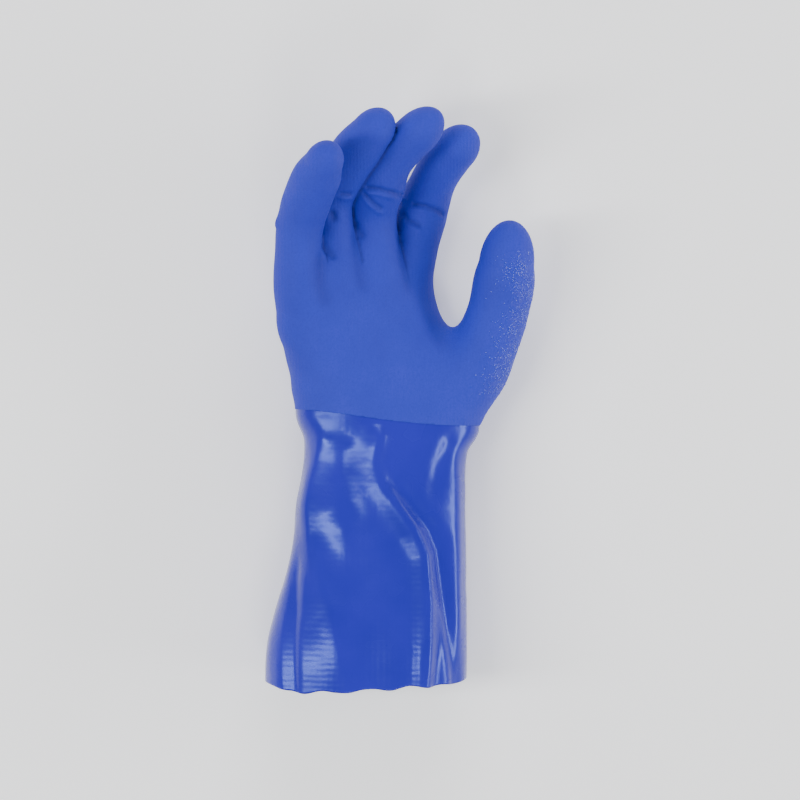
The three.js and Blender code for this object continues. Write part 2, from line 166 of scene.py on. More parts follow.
# The hand is made from the same forms as the solids: a palm of turned sections, four fingers and a thumb along
# curved centre lines. They are blended into one skin, as a dipped former gives it, with webs between the digits.
# along (share of PALM), share of the way from heel to knuckles, aside, narrow, thin on the back, thin on the palm
palm_rows = []
for along, share, aside, narrow, thin_back, thin_front in [
    (-0.12, 0.0, -1.2, 0.99, 1.0, 1.0),
    (0.0, 0.0, -1.2, 0.99, 1.0, 1.0),
    (0.1, 0.14, -0.6, 0.99, 1.0, 1.0),
    (0.2, 0.23, 0.0, 0.99, 1.0, 1.0),
    (0.3, 0.34, 0.0, 1.0, 1.0, 1.0),
    (0.4, 0.48, 0.3, 1.0, 1.0, 1.0),
    (0.5, 0.62, 1.2, 0.99, 1.0, 1.0),
    (0.6, 0.77, 2.0, 0.97, 0.99, 0.98),
    (0.72, 0.89, 2.2, 0.95, 0.98, 0.94),
    (0.85, 0.95, 2.2, 0.92, 0.94, 0.84),
    (0.98, 1.0, 2.0, 0.88, 0.86, 0.68),
    (1.08, 1.0, 2.0, 0.82, 0.73, 0.46),
    (1.14, 1.0, 2.0, 0.77, 0.56, 0.30),
    (1.175, 1.0, 2.0, 0.70, 0.36, 0.18),
    (1.19, 1.0, 2.0, 0.62, 0.14, 0.08),
]:
    breadth, depth = 103 + (102 - 103) * share, 56 + (40 - 56) * share
    middle, turn = 13 + (-5 - 13) * share + aside, 7 + (33 - 7) * share
    sunk = SUNK * (1 - share)
    height = seat_height(breadth, depth, turn) - sunk
    palm_rows.append((along, breadth, depth, middle, turn, narrow, thin_back, thin_front, height))
palm_rows = np.array(palm_rows)

# name, root (breadth, depth, middle, turn), length, girth, seat (across, palmward, up), then each bone's
# share of the length, bend and splay in degrees, then how full the digit is at 0.1, 0.3, 0.5, 0.7 and 0.9
KNUCKLES = (102, 40, -5, 33)
HEEL = (103, 56, 13, 7)
digits = [
    (
        "index",
        KNUCKLES,
        90.7,
        26.4,
        (0.355, 0.05, 1.062),
        [(0.35, 9.2, 10.2), (0.31, 42.3, -2.5), (0.34, 48.0, 18.1)],
        (1.04, 1.17, 0.995, 1.01, 1.008),
    ),
    (
        "middle",
        KNUCKLES,
        113.5,
        29.9,
        (0.136, 0.0, 0.96),
        [(0.29, 6.3, -10.0), (0.29, 37.6, -8.5), (0.42, 46.6, 25.6)],
        (1.055, 1.005, 1.084, 0.825, 0.826),
    ),
    (
        "ring",
        KNUCKLES,
        97.7,
        25.1,
        (-0.132, -0.02, 1.063),
        [(0.34, 8.4, -7.7), (0.27, 38.3, 5.8), (0.39, 46.2, 15.4)],
        (1.01, 1.013, 1.194, 1.186, 0.916),
    ),
    (
        "little",
        KNUCKLES,
        86.4,
        24.2,
        (-0.391, 0.05, 0.98),
        [(0.29, 16.3, -3.9), (0.25, 37.0, -5.9), (0.46, 52.4, -11.5)],
        (1.02, 1.13, 1.145, 1.159, 0.80),
    ),
    (
        "thumb",
        HEEL,
        106.2,
        34.6,
        (0.401, 0.03, 0.117),
        [(0.23, 12.0, 27.7), (0.25, 13.1, 19.0), (0.24, 14.2, 9.1), (0.28, 15.6, 2.7)],
        (0.95, 0.867, 0.978, 1.025, 0.747),
    ),
]
finger_rows = np.array(
    [
        (-0.30, 0.60, 0.70),
        (-0.14, 0.88, 1.00),
        (0.00, 0.96, 1.12),
        (0.10, 0.98, 1.10),
        (0.20, 0.98, 1.05),
        (0.29, 0.97, 1.02),
        (0.36, 0.97, 0.99),
        (0.44, 1.00, 1.01),
        (0.52, 1.00, 0.99),
        (0.62, 0.98, 0.96),
        (0.72, 0.98, 0.95),
        (0.82, 0.96, 0.92),
        (1.00, 0.93, 0.88),
    ]
)
thumb_rows = np.array(
    [
        (-0.11, 0.42, 0.55),
        (-0.07, 0.66, 0.80),
        (0.00, 0.93, 1.02),
        (0.10, 1.11, 1.16),
        (0.20, 1.20, 1.20),
        (0.30, 1.18, 1.14),
        (0.40, 1.10, 1.06),
        (0.54, 1.00, 0.98),
        (0.66, 0.97, 0.94),
        (0.77, 0.95, 0.91),
        (0.86, 0.92, 0.88),
        (1.00, 0.88, 0.84),
    ]
)


def between(points, knots, first, last, at):
    """A point on the straight line from one point to the next, for a place between two knots."""
    share_left, share_right = knots[last] - at, at - knots[first]
    return (share_left * points[first] + share_right * points[first + 1]) / (knots[last] - knots[first])


def centre_line(root, length, seat, bones):
    """Points, directions and side directions along a digit, from the palm to the middle of its round tip."""
    breadth, depth, middle, turn = root
    t = np.radians(turn)
    across = np.array([np.cos(t), 0, -np.sin(t)])
    palmward = np.array([np.sin(t), 0, np.cos(t)])
    sunk = SUNK if root == HEEL else 0.0
    at = np.array([middle, 0, seat_height(breadth, depth, turn) - sunk])
    at = at + across * seat[0] * breadth + palmward * seat[1] * depth + np.array([0, seat[2] * PALM, 0])
    corners = [at]
    for share, bend, splay in bones:
        b, s = np.radians(bend), np.radians(splay)
        way = across * np.cos(b) * np.sin(s) + np.array([0, np.cos(b) * np.cos(s), 0]) + palmward * np.sin(b)
        corners.append(corners[-1] + way * share * length)
    corners = np.array(corners)
    # a centripetal curve through the corners
    padded = np.vstack([2 * corners[0] - corners[1], corners, 2 * corners[-1] - corners[-2]])
    line = []
    for k in range(1, len(padded) - 2):
        p = padded[k - 1 : k + 3]
        knots = np.concatenate([[0], np.cumsum(np.sqrt(np.linalg.norm(np.diff(p, axis=0), axis=1)))])
        for v in np.linspace(knots[1], knots[2], 40, endpoint=k == len(padded) - 3):
            level = p
            for gap in (1, 2):
                level = [between(level, knots, i, i + gap, v) for i in range(len(level) - 1)]
            line.append(((knots[2] - v) * level[0] + (v - knots[1]) * level[1]) / (knots[2] - knots[1]))
    line = np.array(line)
    run = np.concatenate([[0], np.cumsum(np.linalg.norm(np.diff(line, axis=0), axis=1))])
    share = run / run[-1]
    return line, share, run[-1], across


def digit_field(points, root, length, girth, seat, bones, fullness, rows, tip):
    """Distance from each point to a digit's skin, negative inside."""
    line, share, run, across = centre_line(root, length, seat, bones)
    start = rows[0, 0]
    first = line[1] - line[0]
    first = first / np.linalg.norm(first)
    # even samples from inside the palm to the middle of the round tip
    wanted = np.linspace(start, 1 - tip * girth / 2 / run, 72)
    centre = np.stack([np.interp(wanted, share, line[:, k]) for k in range(3)], 1)
    centre = centre + np.minimum(wanted, 0)[:, None] * run * first
    along = np.gradient(centre, axis=0)
    along = along / np.linalg.norm(along, axis=1)[:, None]
    side = across - along * (along @ across)[:, None]
    side = side / np.linalg.norm(side, axis=1)[:, None]
    front = np.cross(side, along)
    breadth, depth = read_row(rows, wanted)
    spots = (start, 0.0, 0.1, 0.3, 0.5, 0.7, 0.9, 1.0)
    values = (fullness[0], fullness[0]) + tuple(fullness) + (fullness[-1],)
    (full,) = read_row(np.column_stack([spots, values]), wanted)
    half_u, half_v = breadth * full * girth / 2, depth * np.sqrt(full) * girth / 2
    field = np.empty(len(points))
    step = run * (wanted[1] - wanted[0])
    for i in range(0, len(points), 60000):
        block = points[i : i + 60000]
        away = (block**2).sum(1)[:, None] - 2 * block @ centre.T + (centre**2).sum(1)
        k = away.argmin(1)
        rel = block - centre[k]
        w = (rel * along[k]).sum(1)
        u = (rel * side[k]).sum(1)
        v = (rel * front[k]).sum(1)
        at = np.clip(k + w / step, 0, len(wanted) - 1)
        a = np.interp(at, np.arange(len(wanted)), half_u)
        b = np.interp(at, np.arange(len(wanted)), half_v)
        over = np.where((k == len(wanted) - 1) & (w > 0), w, 0) + np.where((k == 0) & (w < 0), w, 0)
        c = tip * girth / 2
        rho = np.sqrt((u / a) ** 2 + (v / b) ** 2 + (over / c) ** 2) + 1e-9
        steep = np.sqrt((u / a**2) ** 2 + (v / b**2) ** 2 + (over / c**2) ** 2) / rho + 1e-9
        field[i : i + 60000] = (rho - 1) / np.maximum(steep, 1 / 40)
    return field


def palm_field(points):
    """Distance from each point to the palm's skin, negative inside."""
    along = (points[:, 1] + 0.09 * (points[:, 0] - 13)) / PALM
    row = read_row(palm_rows, np.clip(along, -0.12, 1.19))
    breadth, depth, middle, turn, narrow, thin_back, thin_front, height = row
    t = np.radians(turn)
    dx, dz = points[:, 0] - middle, points[:, 2] - height
    u = np.abs(dx * np.cos(t) - dz * np.sin(t))
    n = dx * np.sin(t) + dz * np.cos(t)
    front = 0.5 + 0.5 * np.tanh(n / 6)
    a, b = breadth * narrow / 2, depth * (thin_back + (thin_front - thin_back) * front) / 2
    n = np.abs(n)
    rho = ((u / a) ** POWER + (n / b) ** POWER) ** (1 / POWER) + 1e-9
    steep_u, steep_n = (u / a) ** (POWER - 1) / a, (n / b) ** (POWER - 1) / b
    steep = np.sqrt(steep_u**2 + steep_n**2) * rho ** (1 - POWER)
    field = (rho - 1) / np.maximum(steep, 1 / 60)
    return np.maximum(field, (along - 1.19) * PALM)


def blend(a, b, reach):
    """Both forms as one, with the corner between them filled to about this radius."""
    h = np.clip(0.5 + 0.5 * (b - a) / reach, 0, 1)
    return b + (a - b) * h - reach * h * (1 - h)


def digit_fields(points):
    """Distance from each point to the skin of each digit on its own, by name."""
    made = {}
    for name, root, length, girth, seat, bones, fullness in digits:
        rows, tip = (thumb_rows, 1.45) if name == "thumb" else (finger_rows, 1.26)
        line, _, _, _ = centre_line(root, length, seat, bones)
        near = np.all((points > line.min(0) - 55) & (points < line.max(0) + 55), axis=1)
        field = np.full(len(points), 60.0)
        field[near] = digit_field(points[near], root, length, girth, seat, bones, fullness, rows, tip)
        made[name] = field
    return made


def hand_field(points):
    """The hand's skin: fingers parted by narrow webs, then blended into the palm and the table's flat."""
    made = digit_fields(points)
    web = np.clip((92 - points[:, 1]) / 20, 0, 1) * 4 + 0.6
    fingers = blend(made["index"], made["middle"], web)
    fingers = blend(fingers, made["ring"], web)
    fingers = blend(fingers, made["little"], web)
    body = blend(palm_field(points), fingers, 9.0)
    body = blend(body, made["thumb"], 20.0)
    return -blend(-body, points[:, 2], 2.0)


def skin(field, origin, pitch):
    """A mesh of quads where the field changes sign, one point in each cell that the skin crosses."""
    inside = field < 0
    shape = np.array(field.shape) - 1
    corners = [(i, j, k) for i in (0, 1) for j in (0, 1) for k in (0, 1)]
    cut = [tuple(slice(c, c + n) for c, n in zip(corner, shape)) for corner in corners]
    count = sum(inside[c].astype(np.int8) for c in cut)
    active = (count > 0) & (count < 8)
    cell = np.argwhere(active)
    number = -np.ones(shape, int)
    number[active] = np.arange(len(cell))
    total, hits = np.zeros((len(cell), 3)), np.zeros(len(cell))
    for i, a in enumerate(corners):
        for b in corners[i + 1 :]:
            if sum(abs(p - q) for p, q in zip(a, b)) != 1:
                continue
            fa = field[tuple((cell + a).T)]
            fb = field[tuple((cell + b).T)]
            crossed = (fa < 0) != (fb < 0)
            t = np.where(crossed, fa / np.where(crossed, fa - fb, 1), 0)
            place = np.array(a) + t[:, None] * (np.array(b) - np.array(a))
            total += np.where(crossed[:, None], place, 0)
            hits += crossed
    verts = origin + (cell + total / hits[:, None]) * pitch
    quads = []
    for axis in range(3):
        p, q = [(1, 2), (2, 0), (0, 1)][axis]
        low = [slice(1, n) for n in shape]
        low[axis] = slice(0, shape[axis])
        high = list(low)
        high[axis] = slice(1, shape[axis] + 1)
        first, second = inside[tuple(low)], inside[tuple(high)]
        for turned, wanted in ((False, first & ~second), (True, ~first & second)):
            at = np.argwhere(wanted)
            base = at + np.array([0 if k == axis else 1 for k in range(3)])
            ring = []
            for dp, dq in ((0, 0), (-1, 0), (-1, -1), (0, -1)):
                c = base.copy()
                c[:, p] += dp
                c[:, q] += dq
                ring.append(number[tuple(c.T)])
            ring = np.stack(ring, 1)
            quads.append(ring[:, ::-1] if turned else ring)
    return verts, np.vstack(quads)


def grid_skin(pitch, inset, low, high):
    """The hand's skin, or a face of its wall further in, on a grid of this pitch."""
    low, high = np.array(low, float), np.array(high, float)
    steps = np.ceil((high - low) / pitch).astype(int) + 1
    axes = [low[k] + np.arange(steps[k]) * pitch for k in range(3)]
    points = np.stack(np.meshgrid(*axes, indexing="ij"), -1).reshape(-1, 3)
    field = hand_field(points).reshape(steps)
    return skin(field + inset, low, pitch)


# The skin is a close mesh outside and a wider one on the knitted inner face, cut along the coat's edge and
# joined there by a rim, so the open end shows the real thickness of the wall.
WALL = 1.9
pitch = 1.07
outer_verts, outer_quads = grid_skin(pitch, 0, (-54, -14, -4), (102, 180, 115))
inner_verts, inner_quads = grid_skin(1.9, WALL, (-54, -14, -4), (102, 180, 115))


def cut_skin(verts, quads, rounds):
    """A skin smoothed a little, and cut along the coat's edge. Its points in millimetres, and its faces."""
    work = bmesh.new()
    for x, y, z in verts:
        work.verts.new((x, y, z))
    work.verts.ensure_lookup_table()
    for quad in quads.tolist():
        work.faces.new([work.verts[k] for k in quad])
    for _ in range(rounds):
        bmesh.ops.smooth_vert(
            work, verts=work.verts, factor=0.5, use_axis_x=True, use_axis_y=True, use_axis_z=True
        )
    places = np.array([v.co[:] for v in work.verts])
    places[:, 1] -= coat_edge(places[:, 0])
    for v, place in zip(work.verts, places):
        v.co = place
    everything = work.verts[:] + work.edges[:] + work.faces[:]
    bmesh.ops.bisect_plane(work, geom=everything, plane_co=(0, 0, 0), plane_no=(0, 1, 0), clear_inner=True)
    bmesh.ops.remove_doubles(work, verts=work.verts, dist=0.02)
    work.verts.ensure_lookup_table()
    work.verts.index_update()
    places = np.array([v.co[:] for v in work.verts])
    places[:, 1] += coat_edge(places[:, 0])
    faces = [[v.index for v in face.verts] for face in work.faces]
    rim = {}
    for edge in work.edges:
        if edge.is_boundary:
            first, second = [v.index for v in edge.verts]
            loop = edge.link_loops[0]
            if loop.vert.index != first:
                first, second = second, first
            rim[first] = second
    work.free()
    start = next(iter(rim))
    ring = [start]
    while rim[ring[-1]] != start:
        ring.append(rim[ring[-1]])
    return places, faces, ring


def rim_faces(outer, outer_ring, inner, inner_ring):
    """Triangles between the outer and inner ring of an open end, walked round together."""
    middle = outer[outer_ring].mean(0)

    def turned(places, ring):
        around = np.arctan2(places[ring][:, 2] - middle[2], places[ring][:, 0] - middle[0])
        if np.median(np.diff(around)) < 0:
            ring, around = ring[::-1], around[::-1]
        start = int(np.argmin(around))
        return list(ring[start:]) + list(ring[:start]), np.concatenate([around[start:], around[:start]])

    a, around_a = turned(outer, np.array(outer_ring))
    b, around_b = turned(inner, np.array(inner_ring))
    around_a = np.append(np.maximum.accumulate(around_a), 9.0)
    around_b = np.append(np.maximum.accumulate(around_b), 9.0)
    i = j = 0
    faces = []
    while i < len(a) or j < len(b):
        p, q = a[i % len(a)], b[j % len(b)] + len(outer)
        if j >= len(b) or (i < len(a) and around_a[i + 1] <= around_b[j + 1]):
            i += 1
            faces.append((p, a[i % len(a)], q))
        else:
            j += 1
            faces.append((p, b[j % len(b)] + len(outer), q))
    return faces


def vertex_normals(places, faces):
    """Outward directions at each point of a closed skin."""
    total = np.zeros_like(places)
    for size in {len(face) for face in faces}:
        group = np.array([face for face in faces if len(face) == size])
        corner = places[group]
        normal = np.cross(corner[:, 2] - corner[:, 0], corner[:, -1] - corner[:, 1])
        for k in range(size):
            np.add.at(total, group[:, k], normal)
    return total / (np.linalg.norm(total, axis=1)[:, None] + 1e-12)


# A crease or fold is a path over the skin. Its points are given as they are seen from above, in millimetres
# of the frame, and are dropped onto the skin along the same line of sight.
EYE = np.array([0.0, -0.84, 1800.0])


def drop(path, places, faces, beyond=0.0):
    """The points of the skin under the points of a path, which may run on beyond its last point."""
    tree = BVHTree.FromPolygons((places + SHIFT).tolist(), faces)
    found = []
    for x, y, *height in path:
        toward = Vector((x, y, 35)) - Vector(EYE)
        hit = tree.ray_cast(Vector(EYE), toward.normalized())[0]
        if hit is not None:
            found.append(np.array([*(np.array(hit) - SHIFT), *(height or (1.0,))]))
    if beyond:
        way = found[-1][:3] - found[-2][:3]
        found.append(found[-1] + np.append(way / np.linalg.norm(way) * beyond, 0))
    return np.array(found)


def stroke(places, line, right, left):
    """How strongly a path acts on each point: its own height on the path, falling away to the right and left."""
    path, height = line[:, :3], line[:, 3]
    reach = 3.2 * max(left, right)
    low, high = path.min(0) - reach, path.max(0) + reach
    near = np.nonzero(np.all((places > low) & (places < high), axis=1))[0]
    spot = places[near]
    best, side, strength = np.full(len(near), 1e9), np.zeros(len(near)), np.zeros(len(near))
    for a, b, high_a, high_b in zip(path[:-1], path[1:], height[:-1], height[1:]):
        span = b - a
        t = np.clip((spot - a) @ span / (span @ span), 0, 1)
        rest = spot - a - t[:, None] * span
        away = np.linalg.norm(rest, axis=1)
        nearer = away < best
        best = np.where(nearer, away, best)
        plan = span[:2] / (np.linalg.norm(span[:2]) + 1e-9)
        side = np.where(nearer, rest[:, 0] * -plan[1] + rest[:, 1] * plan[0], side)
        strength = np.where(nearer, high_a + (high_b - high_a) * t * t * (3 - 2 * t), strength)
    # a path runs down the glove, so the thumb's side, seen from above, is the right one
    share = 0.5 + 0.5 * np.tanh(side / 1.5)
    width = left + (right - left) * share
    out = np.zeros(len(places))
    out[near] = np.exp(-((best / width) ** 2)) * strength
    return out


outer_verts, outer_faces, outer_ring = cut_skin(outer_verts, outer_quads, 2)
inner_verts, inner_faces, inner_ring = cut_skin(inner_verts, inner_quads, 1)

# Where the fingers bend, the thick coat breaks into short creases with a soft roll of coat under each one.
# name, depth, width, roll height, roll's distance below, path of (x, y)
creases = [
    ("middle finger, long crease", 1.5, 1.4, 1.2, 2.6,
     [(-18.2, 118.6), (-11.8, 117.8), (-3.9, 115.8), (1.7, 114.5)]),
    ("middle finger, short crease", 1.3, 1.5, 0.9, 2.4, [(-19.7, 115.0), (-16.6, 111.1), (-11.0, 106.9)]),
    ("index finger, long crease", 1.5, 1.4, 0.7, 2.6,
     [(7.6, 109.4), (14.1, 108.3), (20.5, 106.0), (24.4, 103.8)]),
    ("index finger, short crease", 1.3, 1.5, 0.9, 2.4, [(2.0, 103.8), (4.5, 100.4), (10.7, 97.3)]),
    ("ring finger crease", 1.0, 1.4, 0.8, 2.2, [(-32.6, 115.0), (-28.1, 115.0)]),
    ("ring finger pit", 1.6, 2.2, 0.0, 0.0, [(-38.2, 103.8), (-37.1, 101.5)]),
    ("pit between little and ring finger", 1.3, 2.2, 0.5, 3.2,
     [(-43.3, 85.8), (-40.5, 83.0), (-37.7, 80.2)]),
    ("pit between ring and middle finger", 1.0, 2.2, 0.4, 3.2,
     [(-24.8, 98.2), (-23.1, 94.5), (-21.4, 91.4)]),
    ("valley below little finger", 1.0, 4.5, 0.0, 0.0, [(-44.4, 76.8), (-43.9, 63.8), (-42.2, 55.4)]),
    ("valley below ring finger", 0.8, 4.0, 0.0, 0.0, [(-25.3, 89.2), (-23.6, 76.8), (-20.8, 63.8)]),
    ("valley below middle finger", 0.8, 4.0, 0.0, 0.0, [(-0.6, 89.2), (1.1, 76.8), (4.5, 63.8)]),
]
out_ward = vertex_normals(outer_verts, outer_faces)
# The creases and the partings between the fingers are pressed into the skin, and are also darkened with painted
# shade in the coat's colour, kept as a mark for the material.
raised = np.zeros(len(outer_verts))
painted_shade = np.zeros(len(outer_verts))
for name, depth, width, roll, below, path in creases:
    line = drop(path, outer_verts, outer_faces)
    pressed = stroke(outer_verts, line, width, width)
    raised -= depth * pressed
    painted_shade = np.maximum(painted_shade, pressed * min(depth / 2.0, 1))
    if roll:
        line = drop([(x, y - below) for x, y in path], outer_verts, outer_faces)
        raised += roll * stroke(outer_verts, line, width * 1.1, width * 1.1)
alone = digit_fields(outer_verts)
# where two fingers part, the skin is pressed in a little and given painted shade
for first, second in (("little", "ring"), ("ring", "middle"), ("middle", "index")):
    apart = np.abs(alone[first] - alone[second])
    close = np.exp(-((apart / 1.3) ** 2)) * (alone[first] < 5) * np.clip((outer_verts[:, 1] - 68) / 18, 0, 1)
    raised -= 0.7 * close
    painted_shade = np.maximum(painted_shade, close)
outer_verts = outer_verts + out_ward * np.maximum(raised, -1.5)[:, None]


def mesh_object(name, verts, faces):
    """A named object at the origin from points in millimetres."""
    mesh = bpy.data.meshes.new(name)
    mesh.from_pydata(((verts + SHIFT) * 0.001).tolist(), [], faces)
    made = bpy.data.objects.new(name, mesh)
    bpy.context.collection.objects.link(made)
    work = bmesh.new()
    work.from_mesh(mesh)
    bmesh.ops.recalc_face_normals(work, faces=work.faces)
    work.to_mesh(mesh)
    work.free()
    mesh.polygons.foreach_set("use_smooth", [True] * len(mesh.polygons))
    return made


def mark(piece, name, values):
    """A value at each point of a piece, for its material."""
    layer = piece.data.attributes.new(name, "FLOAT", "POINT")
    layer.data.foreach_set("value", np.asarray(values, dtype=np.float32))


all_verts = np.vstack([outer_verts, inner_verts])
all_faces = list(outer_faces) + [[k + len(outer_verts) for k in face] for face in inner_faces]
all_faces += rim_faces(outer_verts, outer_ring, inner_verts, inner_ring)
hand = mesh_object("rough_coated_hand", all_verts, all_faces)
none_inside = np.zeros(len(inner_verts))
# the mark of painted shade in the creases and partings
mark(hand, "crease_and_parting_shade", np.concatenate([painted_shade, none_inside]))
mark(hand, "inner", np.concatenate([np.zeros(len(outer_verts)), none_inside + 1]))

# The coat on the thumb's outer side is glossier than elsewhere, along this line.
RUBBED_WIDTH = 9.0
side_line = drop([(66, 72), (71.5, 58), (73, 40), (66, 20), (56, 10)], outer_verts, outer_faces)
shine = stroke(outer_verts, side_line, RUBBED_WIDTH, RUBBED_WIDTH)
mark(hand, "shine", np.concatenate([shine, none_inside]))


class Shader:
    """Short calls that add and join a material's nodes."""

    def __init__(self, name):
        self.material = bpy.data.materials.new(name)
        self.material.use_nodes = True
        self.nodes = self.material.node_tree.nodes
        self.links = self.material.node_tree.links
        self.surface = self.nodes["Principled BSDF"]
        self.place = self.nodes.new("ShaderNodeTexCoord").outputs["Object"]

    def join(self, source, target):
        if hasattr(source, "links"):
            self.links.new(source, target)
        elif hasattr(target.default_value, "__len__") and not hasattr(source, "__len__"):
            target.default_value = [source] * len(target.default_value)
        else:
            target.default_value = source

    def math(self, operation, first, second=0.0, clamp=False):
        node = self.nodes.new("ShaderNodeMath")
        node.operation, node.use_clamp = operation, clamp
        self.join(first, node.inputs[0])
        self.join(second, node.inputs[1])
        return node.outputs[0]

    def noise(self, scale, detail=2.0, rough=0.5, stretch=(1, 1, 1)):
        around = self.nodes.new("ShaderNodeMapping")
        around.inputs["Scale"].default_value = stretch
        self.join(self.place, around.inputs["Vector"])
        node = self.nodes.new("ShaderNodeTexNoise")
        node.inputs["Scale"].default_value = scale
        node.inputs["Detail"].default_value = detail
        node.inputs["Roughness"].default_value = rough
        self.join(around.outputs[0], node.inputs["Vector"])
        return node.outputs["Fac"]

    def ribs(self, scale, axis, bend=0.0):
        node = self.nodes.new("ShaderNodeTexWave")
        node.bands_direction = axis
        node.inputs["Scale"].default_value = scale
        node.inputs["Distortion"].default_value = bend
        node.inputs["Detail"].default_value = 1.0
        node.inputs["Detail Scale"].default_value = 1.5
        self.join(self.place, node.inputs["Vector"])
        return node.outputs["Fac"]

    def span(self, value, from_low, from_high, to_low, to_high):
        node = self.nodes.new("ShaderNodeMapRange")
        limits = {"From Min": from_low, "From Max": from_high, "To Min": to_low, "To Max": to_high}
        for key, limit in limits.items():
            node.inputs[key].default_value = limit
        self.join(value, node.inputs["Value"])
        return node.outputs[0]

    def layer(self, name):
        node = self.nodes.new("ShaderNodeAttribute")
        node.attribute_name = name
        return node.outputs["Fac"]

    def mix(self, share, first, second):
        node = self.nodes.new("ShaderNodeMix")
        node.data_type = "RGBA"
        self.join(share, node.inputs["Factor"])
        self.join(first, node.inputs["A"])
        self.join(second, node.inputs["B"])
        return node.outputs["Result"]

    def bump(self, height, distance, strength=1.0, under=None):
        node = self.nodes.new("ShaderNodeBump")
        node.inputs["Strength"].default_value = strength
        node.inputs["Distance"].default_value = distance
        self.join(height, node.inputs["Height"])
        if under is not None:
            self.join(under, node.inputs["Normal"])
        return node.outputs["Normal"]


COAT_BLUE = (0.019, 0.029, 0.45, 1)
COAT_SHADE = (0.014, 0.021, 0.36, 1)
# a darker blue laid into the creases and partings as painted shade
COAT_PAINTED_SHADE = (0.006, 0.010, 0.15, 1)
KNIT_PALE = (0.30, 0.42, 0.62, 1)
KNIT_SHADE = (0.16, 0.25, 0.45, 1)
rough = Shader("rough blue coat")
cloudy = rough.span(rough.noise(38, 3.0), 0.3, 0.7, 0.0, 1.0)
speckle = rough.noise(900, 3.0, 0.7)
knit = rough.ribs(170, "X", 1.2)
tint = rough.mix(rough.math("MULTIPLY", cloudy, 0.55), COAT_BLUE, COAT_SHADE)
tint = rough.mix(rough.span(speckle, 0.45, 0.7, 0.0, 0.7), tint, COAT_SHADE)
# painted shade: the colour darkens in the creases and where the fingers part
tint = rough.mix(rough.math("MULTIPLY", rough.layer("crease_and_parting_shade"), 0.6, True), tint, COAT_PAINTED_SHADE)
backing = rough.mix(rough.ribs(150, "X", 0.6), KNIT_PALE, KNIT_SHADE)
tint = rough.mix(rough.layer("inner"), tint, backing)
rough.join(tint, rough.surface.inputs["Base Color"])
grain = rough.bump(speckle, 0.0003, 0.9)
grain = rough.bump(rough.noise(480, 2.0), 0.0003, 0.45, grain)
grain = rough.bump(knit, 0.00012, 0.35, grain)
rough.join(grain, rough.surface.inputs["Normal"])
glints = rough.span(rough.noise(620, 2.0, 0.6), 0.52, 0.6, 0.0, 1.0)
rubbed = rough.math("MULTIPLY", rough.layer("shine"), glints)
rough.join(rough.span(rubbed, 0.0, 1.0, 0.72, 0.3), rough.surface.inputs["Roughness"])
rough.surface.inputs["Specular IOR Level"].default_value = 0.35
hand.data.materials.append(rough.material)
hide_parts("hand")
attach(hand, "root")

# The coat's sand stands out on the thumb's outer side, where the grains are wet with gloss and catch the light.
# Each grain is a small flat bead of coat, scattered over the skin and half sunk in it.
def node_tree(name, inputs):
    """An empty geometry tree with named inputs, and the key of each input."""
    tree = bpy.data.node_groups.new(name, "GeometryNodeTree")
    tree.interface.new_socket("Geometry", in_out="INPUT", socket_type="NodeSocketGeometry")
    tree.interface.new_socket("Geometry", in_out="OUTPUT", socket_type="NodeSocketGeometry")
    keys = {}
    for label, kind, value in inputs:
        socket = tree.interface.new_socket(label, in_out="INPUT", socket_type=kind)
        socket.default_value = value
        keys[label] = socket.identifier
    return tree, keys


GRAINS_PER_SQUARE_METRE = 620000.0
GRAIN_SIZE = 0.00046
GRAIN_SEED = 7
GRAIN_BLUE = (0.04, 0.07, 0.62, 1)
wet = Shader("wet sandy grain")
wet.join(wet.mix(wet.noise(900), GRAIN_BLUE, COAT_BLUE), wet.surface.inputs["Base Color"])
wet.surface.inputs["Roughness"].default_value = 0.14
wet.surface.inputs["Specular IOR Level"].default_value = 0.8
tree, keys = node_tree(
    "sandy grains",
    [
        ("Grains per square metre", "NodeSocketFloat", GRAINS_PER_SQUARE_METRE),
        ("Grain size", "NodeSocketFloat", GRAIN_SIZE),
        ("Seed", "NodeSocketInt", GRAIN_SEED),
    ],
)
add = tree.nodes.new
start, end = add("NodeGroupInput"), add("NodeGroupOutput")
strength = add("GeometryNodeInputNamedAttribute")
strength.data_type = "FLOAT"
strength.inputs["Name"].default_value = "shine"
thick = add("ShaderNodeMath")
thick.operation = "MULTIPLY"
scatter = add("GeometryNodeDistributePointsOnFaces")
bead = add("GeometryNodeMeshIcoSphere")
bead.inputs["Subdivisions"].default_value = 1
bead.inputs["Radius"].default_value = 1.0
sizes = add("FunctionNodeRandomValue")
sizes.data_type = "FLOAT"
sizes.inputs[2].default_value, sizes.inputs[3].default_value = 0.6, 1.5
grown = add("ShaderNodeMath")
grown.operation = "MULTIPLY"
low_side = add("ShaderNodeMath")
low_side.operation = "MULTIPLY"
low_side.inputs[1].default_value = 0.42
shape = add("ShaderNodeCombineXYZ")
place = add("GeometryNodeInstanceOnPoints")
real = add("GeometryNodeRealizeInstances")
even = add("GeometryNodeSetShadeSmooth")
painted = add("GeometryNodeSetMaterial")
painted.inputs["Material"].default_value = wet.material
